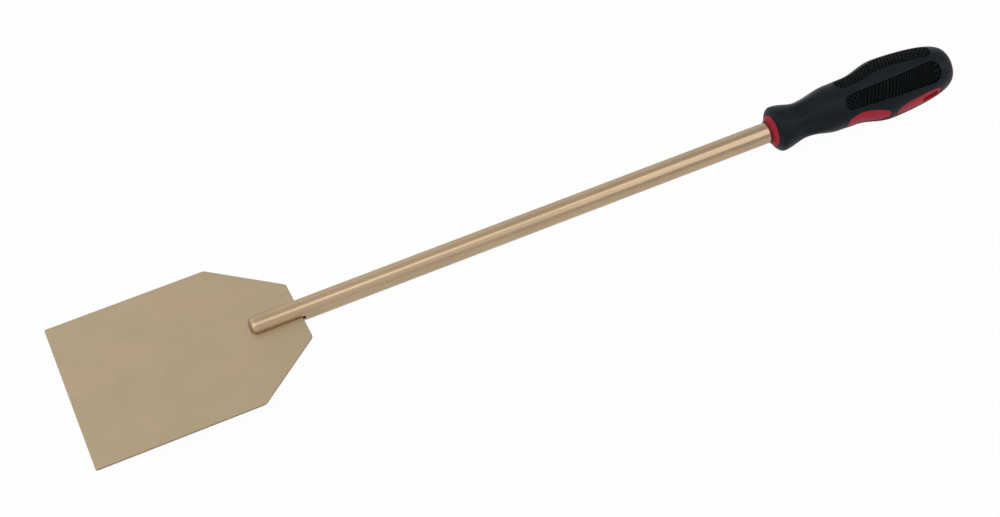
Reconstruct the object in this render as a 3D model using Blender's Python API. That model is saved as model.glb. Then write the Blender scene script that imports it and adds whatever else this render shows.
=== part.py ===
"""A long-handled bronze scraper: a thin blade brazed into the slotted end of a round shaft, with a two-shot moulded grip.

Lengths are in metres. +X runs along the shaft from the working edge to the butt, +Y lies across the blade and +Z is the
normal of the blade's upper face. The origin is the middle of the working edge, on the shaft's axis.
"""

import math

import bmesh
import bpy
from mathutils import Matrix

# Clearances
JOINT_GAP = 0.0003
CUT_OVERRUN = 0.002

# Blade
BLADE_WIDTH = 0.125
BLADE_SIDE_LENGTH = 0.105
BLADE_LENGTH = 0.148
BLADE_BACK_WIDTH = 0.050
BLADE_THICKNESS = 0.0015
BLADE_CORNER_ROUND = 0.0012
BLADE_EDGE_BREAK = 0.0002

# Shaft
SHAFT_DIAMETER = 0.014
SHAFT_FREE_LENGTH = 0.3319
BLADE_OVERLAP = 0.032
SLOT_RUN_OUT = 0.0020
NOSE_ROUND = 0.0018
TANG_FLAT_DEPTH = 0.0011
TANG_FLAT_LENGTH = 0.014
TANG_FLAT_TO_END = 0.010

# Braze fillets in the four corners between shaft and blade
BRAZE_LEG = 0.0007
BRAZE_END_GAP = 0.0050

# Grip outline: places along X are shares of its length, counted from the front of its core
GRIP_LENGTH = 0.1354
GRIP_CLOCK = math.radians(-10.5)
LIP_AT = 0.0012
LIP_FULLNESS = 0.86
COLLAR_SHARE = 0.0388
WAIST_SHARE = 0.172
NECK_SHARE = 0.3466
SWELL_SHARE = 0.4325
BELLY_SHARE = 0.630
COLLAR_RADIUS = 0.0153
WAIST_RADIUS = 0.0120
NECK_RADIUS = 0.0158
SWELL_RADIUS = 0.0161
BELLY_RADIUS = 0.0208
TAIL_FULLNESS = 1.54
TAIL_ROUNDNESS = 4.95

# Grip walls
SLEEVE_WALL = 0.0026
WINDOW_RECESS = 0.0005
RECESS_FLARE = 0.0010
RECESS_DEPTH = 0.0026
BEAD_WALL = 0.0020
BEAD_ROUND = 0.0011
LIP_WALL = 0.0006
MOUTH_DEPTH = 0.0014

# Windows in the sleeve, where the core shows, with their places and lengths as shares of the grip's length
WINDOW_HALF_WIDTH = 0.0071
FRONT_WINDOW_SHARE = 0.4885
FRONT_WINDOW_LENGTH_SHARE = 0.223
REAR_WINDOW_SHARE = 0.7695
REAR_WINDOW_LENGTH_SHARE = 0.266
WINDOW_FULLNESS = 2.7
BUTT_WINDOW_LENGTH = 0.0262
BUTT_WINDOW_WIDTH = 0.0172
BUTT_CUT_DEPTH = 0.014

# Hang hole, straight through the core between the rear windows
HANG_HOLE_SHARE = 0.8325
HANG_HOLE_LENGTH_SHARE = 0.0955
HANG_HOLE_WIDTH = 0.0058
TANG_END_WALL = 0.010

# Ribbed pads, set in pockets of the sleeve between two shares of the grip's length
PAD_FRONT_SHARE = 0.3725
PAD_REAR_SHARE = 0.902
PAD_FRONT_RADIUS = 0.0050
PAD_REAR_RADIUS = 0.0073
PAD_POCKET_DEPTH = 0.0016
PAD_CREST_INSET = 0.0001
PAD_VALLEY_INSET = 0.0007
RIB_PITCH = 0.0024
RIB_SLANT = math.radians(18)

# Places round the grip, from its upper side towards -Y
PAD_ANGLES = [math.radians(a) for a in (0, 60, 180, 240)]
WINDOW_ANGLES = [math.radians(a) for a in (120, 300)]

# Facets
SHAFT_SIDES = 48
INNER_STEPS = 4
INNER_TAIL_STEPS = 8
OUTER_STEPS = 5
OUTER_TAIL_STEPS = 10
GRIP_SIDES = 48
PATCH_COLUMNS = 3
OUTLINE_STEPS = 14

# Worked out from the sizes above
SHAFT_RADIUS = SHAFT_DIAMETER / 2
SHAFT_NOSE_X = BLADE_LENGTH - BLADE_OVERLAP
GRIP_FRONT_X = BLADE_LENGTH + SHAFT_FREE_LENGTH
COLLAR_AT = GRIP_LENGTH * COLLAR_SHARE
WAIST_AT = GRIP_LENGTH * WAIST_SHARE
NECK_AT = GRIP_LENGTH * NECK_SHARE
SWELL_AT = GRIP_LENGTH * SWELL_SHARE
BELLY_AT = GRIP_LENGTH * BELLY_SHARE
FRONT_WINDOW_AT = GRIP_LENGTH * FRONT_WINDOW_SHARE
FRONT_WINDOW_LENGTH = GRIP_LENGTH * FRONT_WINDOW_LENGTH_SHARE
REAR_WINDOW_AT = GRIP_LENGTH * REAR_WINDOW_SHARE
REAR_WINDOW_LENGTH = GRIP_LENGTH * REAR_WINDOW_LENGTH_SHARE
PAD_FRONT_AT = GRIP_LENGTH * PAD_FRONT_SHARE
PAD_REAR_AT = GRIP_LENGTH * PAD_REAR_SHARE
HANG_HOLE_AT = GRIP_LENGTH * HANG_HOLE_SHARE
HANG_HOLE_LENGTH = GRIP_LENGTH * HANG_HOLE_LENGTH_SHARE
TANG_LENGTH = HANG_HOLE_AT - HANG_HOLE_LENGTH / 2 - TANG_END_WALL
BEAD_RADIUS = SHAFT_RADIUS + RECESS_FLARE + BEAD_WALL
MOUTH_RADIUS = BEAD_RADIUS + JOINT_GAP
LIP_RADIUS = MOUTH_RADIUS + LIP_WALL
CORE_INSET = SLEEVE_WALL + JOINT_GAP


def clear_scene():
    for obj in list(bpy.data.objects):
        bpy.data.objects.remove(obj, do_unlink=True)


def make_material(name, colour, roughness, metallic):
    material = bpy.data.materials.new(name)
    material.use_nodes = True
    shader = material.node_tree.nodes["Principled BSDF"]
    shader.inputs["Base Color"].default_value = (*colour, 1.0)
    shader.inputs["Roughness"].default_value = roughness
    shader.inputs["Metallic"].default_value = metallic
    return material


def make_object(name, bm, material, parent, turn=0.0, along=0.0):
    """An object from a bmesh, turned about X and moved along X within its parent."""
    bmesh.ops.recalc_face_normals(bm, faces=bm.faces)
    mesh = bpy.data.meshes.new(name)
    bm.to_mesh(mesh)
    bm.free()
    mesh.shade_smooth()
    mesh.set_sharp_from_angle(angle=math.radians(35))
    obj = bpy.data.objects.new(name, mesh)
    bpy.context.scene.collection.objects.link(obj)
    obj.parent = parent
    obj.location = (along, 0, 0)
    obj.rotation_euler = (turn, 0, 0)
    if material:
        mesh.materials.append(material)
    return obj


def make_cutter(name, bm, parent, turn=0.0, along=0.0):
    cutter = make_object(name, bm, None, parent, turn, along)
    cutter.hide_render = True
    cutter.display_type = "WIRE"
    return cutter


def combine(obj, operation, other):
    modifier = obj.modifiers.new(f"{operation.lower()} {other.name}", "BOOLEAN")
    modifier.operation = operation
    modifier.object = other
    modifier.solver = "EXACT"


def make_empty(name, parent=None, along=0.0, turn=0.0):
    empty = bpy.data.objects.new(name, None)
    bpy.context.scene.collection.objects.link(empty)
    empty.parent = parent
    empty.location = (along, 0, 0)
    empty.rotation_euler = (turn, 0, 0)
    return empty


# Outlines and solids


def revolve(profile, sides):
    """A closed body of revolution about X. The profile is a list of (x, radius) whose ends lie on the axis.

    A facet, not an edge between two, faces +Z, so that cuts centred there do not run along an edge.
    """
    bm = bmesh.new()
    half = math.pi / sides
    points = [bm.verts.new((x, radius * math.sin(half), radius * math.cos(half))) for x, radius in profile]
    edges = [bm.edges.new(pair) for pair in zip(points, points[1:])]
    bmesh.ops.spin(bm, geom=points + edges, axis=(1, 0, 0), cent=(0, 0, 0), angle=math.tau, steps=sides, use_merge=True)
    bmesh.ops.remove_doubles(bm, verts=bm.verts, dist=JOINT_GAP / sides)
    return bm


def prism(outline, low, high):
    """An outline in X and Y, extruded along Z from low to high."""
    bm = bmesh.new()
    face = bm.faces.new([bm.verts.new((x, y, low)) for x, y in outline])
    walls = bmesh.ops.extrude_face_region(bm, geom=[face])
    tops = [item for item in walls["geom"] if isinstance(item, bmesh.types.BMVert)]
    bmesh.ops.translate(bm, verts=tops, vec=(0, 0, high - low))
    return bm


def stadium(length, width, steps):
    """A slot outline centred on the origin: two half circles joined by straight sides along X."""
    radius = width / 2
    reach = (length - width) / 2
    points = []
    for side in (1, -1):
        for step in range(steps + 1):
            angle = math.pi * step / steps - math.pi / 2
            points.append((side * (reach + radius * math.cos(angle)), side * radius * math.sin(angle)))
    return points


def window_half_width(length, half_width):
    """Half width against distance from the window's middle: a superellipse, fuller than an ellipse at its corners."""

    def at(x):
        share = min(1.0, abs(2 * x / length))
        return half_width * (1 - share**WINDOW_FULLNESS) ** (1 / WINDOW_FULLNESS)

    return at


def pad_half_width(margin):
    """Half width against distance from the grip's front: two circles of unlike radius joined by their tangents."""
    front_radius = PAD_FRONT_RADIUS + margin
    rear_radius = PAD_REAR_RADIUS + margin
    front_centre = PAD_FRONT_AT + PAD_FRONT_RADIUS
    rear_centre = PAD_REAR_AT - PAD_REAR_RADIUS
    lean = math.asin((rear_radius - front_radius) / (rear_centre - front_centre))
    front_x = front_centre - front_radius * math.sin(lean)
    rear_x = rear_centre - rear_radius * math.sin(lean)

    def at(x):
        if x < front_x:
            return math.sqrt(max(0.0, front_radius**2 - (x - front_centre) ** 2))
        if x > rear_x:
            return math.sqrt(max(0.0, rear_radius**2 - (x - rear_centre) ** 2))
        share = (x - front_x) / (rear_x - front_x)
        return math.cos(lean) * (front_radius + share * (rear_radius - front_radius))

    return at


def ease(share):
    """0 to 1 along half a cosine wave, level at both ends."""
    return (1 - math.cos(math.pi * share)) / 2


def grip_radius(x, inset=0.0):
    """Outer radius of the grip at x from its front, or of a surface that lies inset below it, also at the butt."""
    if x < COLLAR_AT:
        share = max(0.0, (x - LIP_AT) / (COLLAR_AT - LIP_AT))
        return LIP_RADIUS + (COLLAR_RADIUS - LIP_RADIUS) * math.sin(share**LIP_FULLNESS * math.pi / 2) - inset
    stations = [(COLLAR_AT, COLLAR_RADIUS), (WAIST_AT, WAIST_RADIUS), (NECK_AT, NECK_RADIUS), (SWELL_AT, SWELL_RADIUS)]
    stations.append((BELLY_AT, BELLY_RADIUS))
    for (start, r0), (end, r1) in zip(stations, stations[1:]):
        if x <= end:
            return r0 + (r1 - r0) * ease((x - start) / (end - start)) - inset
    share = min(1.0, (x - BELLY_AT) / (GRIP_LENGTH - inset - BELLY_AT))
    return (BELLY_RADIUS - inset) * (1 - share**TAIL_FULLNESS) ** (1 / TAIL_ROUNDNESS)


def core_radius(x):
    """Outer radius of the core under the sleeve. In front of the waist it is no wider than the core's front bead."""
    radius = grip_radius(x, CORE_INSET)
    return min(radius, BEAD_RADIUS) if x < WAIST_AT else radius


def tail_stations(inset, steps):
    """Places from the belly to the butt, closer together towards the round end."""
    reach = GRIP_LENGTH - inset - BELLY_AT
    return [BELLY_AT + reach * math.sin(math.pi / 2 * (step + 1) / steps) for step in range(steps)]


def spread(start, end, steps):
    """Evenly spaced places after start, up to and with end."""
    return [start + (end - start) * (step + 1) / steps for step in range(steps)]


def body_stations(steps):
    """Places along the grip from just behind the collar to the belly, with so many for each of its three curves."""
    collar_to_neck = spread(COLLAR_AT, WAIST_AT, steps) + spread(WAIST_AT, NECK_AT, steps)
    return collar_to_neck + [SWELL_AT] + spread(SWELL_AT, BELLY_AT, steps)


def patch(half_width, stations, bottom_inset, top_insets, slant=0.0):
    """A curved block that follows the grip's outside, centred on +Z of the grip.

    Each station is a row across the block, from one edge of the outline to the other, and leans by the slant. The sides
    run parallel to Z, as a mould opens. top_insets gives each row's depth below the grip's outside, bottom_inset the
    depth of the underside, and a negative inset stands proud.
    """
    bm = bmesh.new()
    lean = math.tan(slant)
    tops, bottoms = [], []
    for station, top_inset in zip(stations, top_insets):
        ends = [edge_of(half_width, station, lean, side) for side in (-1, 1)]
        top, bottom = [], []
        for column in range(PATCH_COLUMNS + 1):
            y = ends[0] + (ends[1] - ends[0]) * column / PATCH_COLUMNS
            x = station + lean * y
            for row, inset in ((top, top_inset), (bottom, bottom_inset)):
                row.append(bm.verts.new((x, y, math.sqrt(grip_radius(x, inset) ** 2 - y**2))))
        tops.append(top)
        bottoms.append(bottom)
    for rows in (tops, bottoms):
        for near, far in zip(rows, rows[1:]):
            for k in range(PATCH_COLUMNS):
                bm.faces.new((near[k], near[k + 1], far[k + 1], far[k]))
    for k in (0, PATCH_COLUMNS):
        for (t0, t1), (b0, b1) in zip(zip(tops, tops[1:]), zip(bottoms, bottoms[1:])):
            bm.faces.new((t0[k], t1[k], b1[k], b0[k]))
    for top, bottom in ((tops[0], bottoms[0]), (tops[-1], bottoms[-1])):
        for k in range(PATCH_COLUMNS):
            bm.faces.new((top[k], top[k + 1], bottom[k + 1], bottom[k]))
    return bm


def edge_of(half_width, station, lean, side):
    """Where a leaning row meets the outline on one side, found by halving."""
    low, high = 0.0, 2 * max(PAD_REAR_RADIUS, WINDOW_HALF_WIDTH)
    for _ in range(30):
        middle = (low + high) / 2
        if half_width(station + lean * side * middle) > middle:
            low = middle
        else:
            high = middle
    return side * low


def end_rows(start, end, steps):
    """Evenly spaced rows between two round ends, the first and last half a step in from them."""
    return [start + (end - start) * (step + 1 / 2) / steps for step in range(steps)]


def end_stations(start, end, steps):
    """Places from one round end of an outline to the other, closer together at the ends, which stay just open."""
    return [start + (end - start) * ease((step + 1 / 2) / steps) for step in range(steps)]


# Blade


def blade_outline():
    half_width = BLADE_WIDTH / 2
    half_back = BLADE_BACK_WIDTH / 2
    right = [(0, -half_width), (BLADE_SIDE_LENGTH, -half_width), (BLADE_LENGTH, -half_back)]
    left = [(x, -y) for x, y in reversed(right)]
    return right + left


def make_blade(material, parent):
    bm = prism(blade_outline(), -BLADE_THICKNESS / 2, BLADE_THICKNESS / 2)
    corners = [edge for edge in bm.edges if abs((edge.verts[0].co - edge.verts[1].co).z) > BLADE_THICKNESS / 2]
    bmesh.ops.bevel(bm, geom=corners, offset=BLADE_CORNER_ROUND, segments=3, profile=0.5, affect="EDGES")
    blade = make_object("blade", bm, material, parent)
    edge_break = blade.modifiers.new("edge break", "BEVEL")
    edge_break.width = BLADE_EDGE_BREAK
    edge_break.segments = 1
    edge_break.limit_method = "ANGLE"
    edge_break.angle_limit = math.radians(60)
    return blade


# Shaft


def tang_flat(tang_end, radius, margin):
    """A block for a flat on the +Z side, TANG_FLAT_DEPTH below the radius and shorter at both ends by the margin."""
    start = tang_end - TANG_FLAT_TO_END - TANG_FLAT_LENGTH + margin
    end = tang_end - TANG_FLAT_TO_END - margin
    side = radius + CUT_OVERRUN
    outline = [(start, -side), (end, -side), (end, side), (start, side)]
    return prism(outline, radius - TANG_FLAT_DEPTH, side)


def make_shaft(material, parent):
    """A round bar with a slot for the blade at its nose and two keying flats on its tang."""
    end = GRIP_FRONT_X + TANG_LENGTH
    nose = []
    for step in range(5):
        angle = math.pi / 2 * step / 4
        x = SHAFT_NOSE_X + NOSE_ROUND * (1 - math.sin(angle))
        nose.append((x, SHAFT_RADIUS - NOSE_ROUND + NOSE_ROUND * math.cos(angle)))
    profile = [(end, 0), (end, SHAFT_RADIUS)] + nose + [(SHAFT_NOSE_X, 0)]
    shaft = make_object("shaft", revolve(profile, SHAFT_SIDES), material, parent)

    slot_end = BLADE_LENGTH + SLOT_RUN_OUT
    slot_width = BLADE_THICKNESS + 2 * JOINT_GAP
    slot_length = slot_end - SHAFT_NOSE_X + slot_width + CUT_OVERRUN
    reach = SHAFT_RADIUS + CUT_OVERRUN
    slot = prism(stadium(slot_length, slot_width, OUTLINE_STEPS // 3), -reach, reach)
    bmesh.ops.rotate(slot, verts=slot.verts, cent=(0, 0, 0), matrix=Matrix.Rotation(math.pi / 2, 3, "X"))
    combine(shaft, "DIFFERENCE", make_cutter("slot cutter", slot, parent, along=slot_end - slot_length / 2))
    for k, turn in enumerate((0, math.pi)):
        flat = tang_flat(end, SHAFT_RADIUS, 0)
        combine(shaft, "DIFFERENCE", make_cutter(f"tang flat cutter {k}", flat, parent, turn))
    return shaft


# Braze fillets


def make_braze(name, side, face, material, parent):
    """One fillet in the corner between the shaft's flank and a face of the blade: side is +1 or -1 in Y, face in Z."""
    base = BLADE_THICKNESS / 2 + JOINT_GAP
    clear = SHAFT_RADIUS + JOINT_GAP
    foot = math.sqrt(clear**2 - base**2)
    top = base + BRAZE_LEG
    bend = base + BRAZE_LEG / 3
    section = [
        (foot, base),
        (foot + BRAZE_LEG, base),
        (foot + BRAZE_LEG / 3, bend),
        (math.sqrt(clear**2 - top**2), top),
        (math.sqrt(clear**2 - bend**2), bend),
    ]
    start = SHAFT_NOSE_X + NOSE_ROUND
    end = BLADE_LENGTH - BRAZE_END_GAP
    bm = bmesh.new()
    ring = bm.faces.new([bm.verts.new((start, side * y, face * z)) for y, z in section])
    body = bmesh.ops.extrude_face_region(bm, geom=[ring])
    far = [item for item in body["geom"] if isinstance(item, bmesh.types.BMVert)]
    bmesh.ops.translate(bm, verts=far, vec=(end - start, 0, 0))
    return make_object(name, bm, material, parent)


# Grip core


def core_profile():
    """From the front face's middle, over the front bead and along the outside to the butt."""
    recess_radius = SHAFT_RADIUS + RECESS_FLARE
    profile = [(RECESS_DEPTH, 0), (RECESS_DEPTH, SHAFT_RADIUS + JOINT_GAP), (BEAD_ROUND / 2, recess_radius)]
    profile.append((0, recess_radius + BEAD_ROUND / 2))
    for step in range(4):
        angle = math.pi / 2 * step / 3
        x = BEAD_ROUND * (1 - math.cos(angle))
        profile.append((x, BEAD_RADIUS - BEAD_ROUND + BEAD_ROUND * math.sin(angle)))
    profile += [(x, core_radius(x)) for x in body_stations(INNER_STEPS)]
    profile += [(x, grip_radius(x, CORE_INSET)) for x in tail_stations(CORE_INSET, INNER_TAIL_STEPS)]
    return profile


def window_shapes():
    """Place along the grip and length of each window."""
    return {"front": (FRONT_WINDOW_AT, FRONT_WINDOW_LENGTH), "rear": (REAR_WINDOW_AT, REAR_WINDOW_LENGTH)}


def window_patch(place, length, margin, bottom_inset, top_inset):
    """The block that fills a window, smaller or larger than its outline by the margin."""
    half_width = window_half_width(length + 2 * margin, WINDOW_HALF_WIDTH + margin)
    stations = end_stations(place - length / 2 - margin, place + length / 2 + margin, OUTLINE_STEPS)
    return patch(lambda x: half_width(x - place), stations, bottom_inset, [top_inset] * len(stations))


def butt_prism(margin):
    """The oval of the butt window, extruded along X through the end of the grip."""
    outline = stadium(BUTT_WINDOW_LENGTH + 2 * margin, BUTT_WINDOW_WIDTH + 2 * margin, OUTLINE_STEPS // 2)
    bm = prism(outline, GRIP_LENGTH - BUTT_CUT_DEPTH, GRIP_LENGTH + CUT_OVERRUN)
    bmesh.ops.rotate(bm, verts=bm.verts, cent=(0, 0, 0), matrix=Matrix.Rotation(math.pi / 2, 3, "Y"))
    return bm


def make_core(material, parent):
    """The hard inner moulding, with a land in each window, a bore for the tang and the hang hole."""
    core = make_object("grip_core", revolve(core_profile(), GRIP_SIDES), material, parent)
    for turn in WINDOW_ANGLES:
        for name, (place, length) in window_shapes().items():
            block = window_patch(place, length, -JOINT_GAP, CORE_INSET + SLEEVE_WALL, WINDOW_RECESS)
            land = make_cutter(f"{name} land {round(math.degrees(turn))}", block, parent, turn)
            combine(core, "UNION", land)

    outside = [(x, grip_radius(x, WINDOW_RECESS)) for x in tail_stations(WINDOW_RECESS, OUTER_TAIL_STEPS)]
    boss = make_cutter("butt boss", revolve([(outside[0][0], 0)] + outside, GRIP_SIDES), parent)
    combine(boss, "INTERSECT", make_cutter("butt boss outline", butt_prism(-JOINT_GAP), parent, WINDOW_ANGLES[0]))
    combine(core, "UNION", boss)

    bore_radius = SHAFT_RADIUS + JOINT_GAP
    bore_end = TANG_LENGTH + JOINT_GAP
    bore_profile = [(-CUT_OVERRUN, 0), (-CUT_OVERRUN, bore_radius), (bore_end, bore_radius), (bore_end, 0)]
    bore = make_cutter("bore cutter", revolve(bore_profile, SHAFT_SIDES), parent, -GRIP_CLOCK)
    for k, turn in enumerate((0, math.pi)):
        key = tang_flat(TANG_LENGTH, bore_radius, JOINT_GAP)
        combine(bore, "DIFFERENCE", make_cutter(f"bore key {k}", key, parent, turn - GRIP_CLOCK))
    combine(core, "DIFFERENCE", bore)

    reach = BELLY_RADIUS + CUT_OVERRUN
    hole = prism(stadium(HANG_HOLE_LENGTH, HANG_HOLE_WIDTH, OUTLINE_STEPS // 2), -reach, reach)
    combine(core, "DIFFERENCE", make_cutter("hang hole cutter", hole, parent, WINDOW_ANGLES[0], HANG_HOLE_AT))
    return core


# Grip sleeve


def sleeve_profile():
    """From the middle of the butt's inside, forward to the mouth, over the lip and back along the outside."""
    inside = [(MOUTH_DEPTH + LIP_AT, MOUTH_RADIUS)]
    inside += [(x, core_radius(x) + JOINT_GAP) for x in body_stations(INNER_STEPS)]
    inside += [(x, grip_radius(x, SLEEVE_WALL)) for x in tail_stations(SLEEVE_WALL, INNER_TAIL_STEPS)]
    lip = [(LIP_AT + MOUTH_DEPTH / 3, MOUTH_RADIUS + LIP_WALL / 3), (LIP_AT, LIP_RADIUS)]
    stations = spread(LIP_AT, COLLAR_AT, OUTER_STEPS) + body_stations(OUTER_STEPS) + tail_stations(0, OUTER_TAIL_STEPS)
    return inside[::-1] + lip + [(x, grip_radius(x)) for x in stations]


def make_sleeve(material, parent):
    """The soft outer moulding, open at the windows and the butt and pocketed for the pads."""
    sleeve = make_object("grip_sleeve", revolve(sleeve_profile(), GRIP_SIDES), material, parent)
    for turn in WINDOW_ANGLES:
        for name, (place, length) in window_shapes().items():
            block = window_patch(place, length, 0.0, CORE_INSET + CUT_OVERRUN, -CUT_OVERRUN)
            cutter = make_cutter(f"{name} window cutter {round(math.degrees(turn))}", block, parent, turn)
            combine(sleeve, "DIFFERENCE", cutter)
    stations = end_stations(PAD_FRONT_AT - JOINT_GAP, PAD_REAR_AT + JOINT_GAP, OUTLINE_STEPS)
    for k, turn in enumerate(PAD_ANGLES):
        pocket = patch(pad_half_width(JOINT_GAP), stations, PAD_POCKET_DEPTH, [-CUT_OVERRUN] * len(stations))
        combine(sleeve, "DIFFERENCE", make_cutter(f"pocket cutter {k}", pocket, parent, turn))
    butt = make_cutter("butt window cutter", butt_prism(0.0), parent, WINDOW_ANGLES[0])
    combine(sleeve, "DIFFERENCE", butt)
    return sleeve


# Ribbed pads


def make_pad(name, turn, slant, material, parent):
    """A pad whose top rises and falls in slanted ribs: a valley, then a crest, every half pitch."""
    outline = pad_half_width(0)
    count = round((PAD_REAR_AT - PAD_FRONT_AT) / RIB_PITCH)
    rows = end_rows(PAD_FRONT_AT, PAD_REAR_AT, 2 * count)
    insets = [PAD_CREST_INSET if k % 2 else PAD_VALLEY_INSET for k in range(len(rows))]
    body = patch(outline, rows, PAD_POCKET_DEPTH - JOINT_GAP, insets, slant)
    return make_object(name, body, material, parent, turn)


def main():
    clear_scene()
    bronze = make_material("bronze plate", (0.47, 0.35, 0.22), 0.42, 1.0)
    bar = make_material("bronze bar", (0.55, 0.38, 0.24), 0.34, 1.0)
    filler = make_material("braze", (0.42, 0.29, 0.15), 0.5, 1.0)
    red = make_material("red core moulding", (0.42, 0.035, 0.05), 0.4, 0.0)
    black = make_material("black sleeve moulding", (0.018, 0.022, 0.027), 0.5, 0.0)
    pad = make_material("black pad moulding", (0.008, 0.010, 0.011), 0.7, 0.0)

    scraper = make_empty("scraper")
    make_blade(bronze, scraper)
    make_shaft(bar, scraper)
    for side_name, side in (("left", 1), ("right", -1)):
        for face_name, face in (("top", 1), ("bottom", -1)):
            make_braze(f"braze_{face_name}_{side_name}", side, face, filler, scraper)

    grip = make_empty("grip axis", scraper, GRIP_FRONT_X, GRIP_CLOCK)
    make_core(red, grip)
    make_sleeve(black, grip)
    for k, turn in enumerate(PAD_ANGLES):
        slant = RIB_SLANT if k % 2 else -RIB_SLANT
        make_pad(f"grip_pad_{k + 1}", turn, slant, pad, grip)


main()
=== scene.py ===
"""Looks of a long-handled bronze scraper: a thin blade brazed into a slotted bar, with a moulded grip.

Everything is in metres in the CAD's frame: +X runs from the working edge to the butt, and +Z is the normal
of the blade's upper face.
"""

import math

import bmesh
import bpy
import numpy as np
from mathutils import Matrix

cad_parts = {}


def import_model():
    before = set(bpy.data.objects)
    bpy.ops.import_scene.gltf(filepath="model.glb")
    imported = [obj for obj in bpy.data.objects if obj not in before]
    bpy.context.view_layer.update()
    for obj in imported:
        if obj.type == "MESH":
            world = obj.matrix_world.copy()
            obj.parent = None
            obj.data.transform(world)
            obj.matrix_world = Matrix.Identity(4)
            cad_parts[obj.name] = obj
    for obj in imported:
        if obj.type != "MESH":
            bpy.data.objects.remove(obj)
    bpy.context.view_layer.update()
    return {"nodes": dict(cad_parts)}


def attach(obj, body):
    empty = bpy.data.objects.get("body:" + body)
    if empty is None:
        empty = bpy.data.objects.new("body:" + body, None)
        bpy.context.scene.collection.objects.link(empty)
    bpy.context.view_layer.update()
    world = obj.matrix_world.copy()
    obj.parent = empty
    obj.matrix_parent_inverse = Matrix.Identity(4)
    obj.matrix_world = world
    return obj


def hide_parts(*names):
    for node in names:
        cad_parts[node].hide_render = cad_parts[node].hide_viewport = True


# Blade and bar: the CAD's sizes, but for a rounder nose and a slot that ends 0.2 mm sooner
BLADE_LENGTH = 0.148
BLADE_HALF_THICKNESS = 0.00075
BAR_RADIUS = 0.007
NOSE_X = 0.116
NOSE_ROUND = 0.0034
SLOT_HALF_WIDTH = 0.00105
SLOT_END_X = 0.1498
TANG_END_X = 0.576

# Fillets: wide on the left, thin on the right. Each ends at its own distance from the blade's back edge
FILLET_LEG = 0.00035
WIDE_FILLET_LEG = 0.0014
FILLET_WIDENING_LENGTH = 0.006
FILLET_LEFT_END = 0.0006
FILLET_RIGHT_END = 0.0045
FILLET_TAPER_LENGTH = 0.003
FILLET_TAPER_STARTS = (0.0015, 0.0002)
FILLET_WAVER = 0.00006

# How far the fillets' skin runs on out of sight: into the bar, on from its top, at its foot, into the blade
FILLET_OVERLAP = 0.00008
FILLET_HIDDEN_TOP = 0.0004
FILLET_HIDDEN_FOOT = 0.0008
FILLET_FOOT_SINK = 0.0001

# Grip: places are counted from its front. Its outline is the CAD's, but for the ridges round its neck
GRIP_X = 0.4799
GRIP_LENGTH = 0.1354
GRIP_CLOCK = math.radians(-10.5)
PROFILE_SHARES = np.array([0.0388, 0.172, 0.3466, 0.4325, 0.630])
COLLAR_AT, WAIST_AT, NECK_AT, SWELL_AT, BELLY_AT = GRIP_LENGTH * PROFILE_SHARES
LIP_AT = 0.0012
LIP_RADIUS = 0.0109
LIP_FULLNESS = 0.86
COLLAR_RADIUS = 0.0153
WAIST_RADIUS = 0.0120
NECK_RADIUS = 0.0158
SWELL_RADIUS = 0.0161
BELLY_RADIUS = 0.0208
TAIL_FULLNESS = 1.54
TAIL_ROUNDNESS = 4.95
RIDGES_AT = 0.006
RIDGE_HEIGHT = 0.0009

# Front ring: a rim, and a face that rises from it forwards to the bar. Both end out of sight in the grip
BEAD_RADIUS = 0.0107
BEAD_ROUND = 0.0012
BEAD_FRONT = 0.0003
BEAD_BACK = 0.006
FLARE_RISE = 0.0033
FLARE_CURVE = 1.5
FLARE_BAR_GAP = 0.00004
FLARE_BACK = 0.008

# Painted shade at the ring's root, where the bar enters, fades between two radii, and between two places
# behind the grip's front
ROOT_SHADE_RADII = (0.0073, 0.0091)
ROOT_SHADE_PLACES = (0.001, 0.003)

# The sleeve's mouth, round the ring: its radius, and the places of two hidden rows of its inner wall
MOUTH_RADIUS = 0.01082
MOUTH_PLACES = (0.0050, 0.0030)

# Windows, each with its place and half its length. A land is the red skin in one, with its edge hidden
SLEEVE_WALL = 0.0026
LAND_INSET = 0.0005
LAND_OVERLAP = 0.0004
LAND_SPINE = 0.008
WINDOW_HALF_WIDTH = 0.0071
WINDOW_FULLNESS = 2.7
FRONT_WINDOW = (0.06614, 0.0151)
REAR_WINDOW = (0.10419, 0.0180)

# Butt oval, which is wider than the CAD's, with the depths of its wall and of the red skin's edge below it
BUTT_HALF_LENGTH = 0.0127
BUTT_HALF_WIDTH = 0.0106
BUTT_FULLNESS = 2.3
BUTT_OVERLAP = 0.0001
BUTT_WALL_DEPTH = 0.0022
BUTT_SKIRT_DEPTH = 0.0030

# Hang hole
HOLE_AT = 0.11272
HOLE_HALF_LENGTH = 0.00647
HOLE_HALF_WIDTH = 0.0029
HOLE_ROUNDING = 0.0006

# Pads and their pockets. The relief fades in over a margin along a pad's edge, which is wider at the rear
PAD_FRONT_CENTRE = 0.05544
PAD_REAR_CENTRE = 0.11483
PAD_FRONT_RADIUS = 0.0050
PAD_REAR_RADIUS = 0.0073
PAD_INSET = 0.0002
PAD_CLEARANCE = 0.0001
PAD_MARGIN = 0.0003
PAD_MARGIN_GROWTH = 0.0014
POCKET_DEPTH = 0.0016
POCKET_LEDGE = 0.0015

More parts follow.
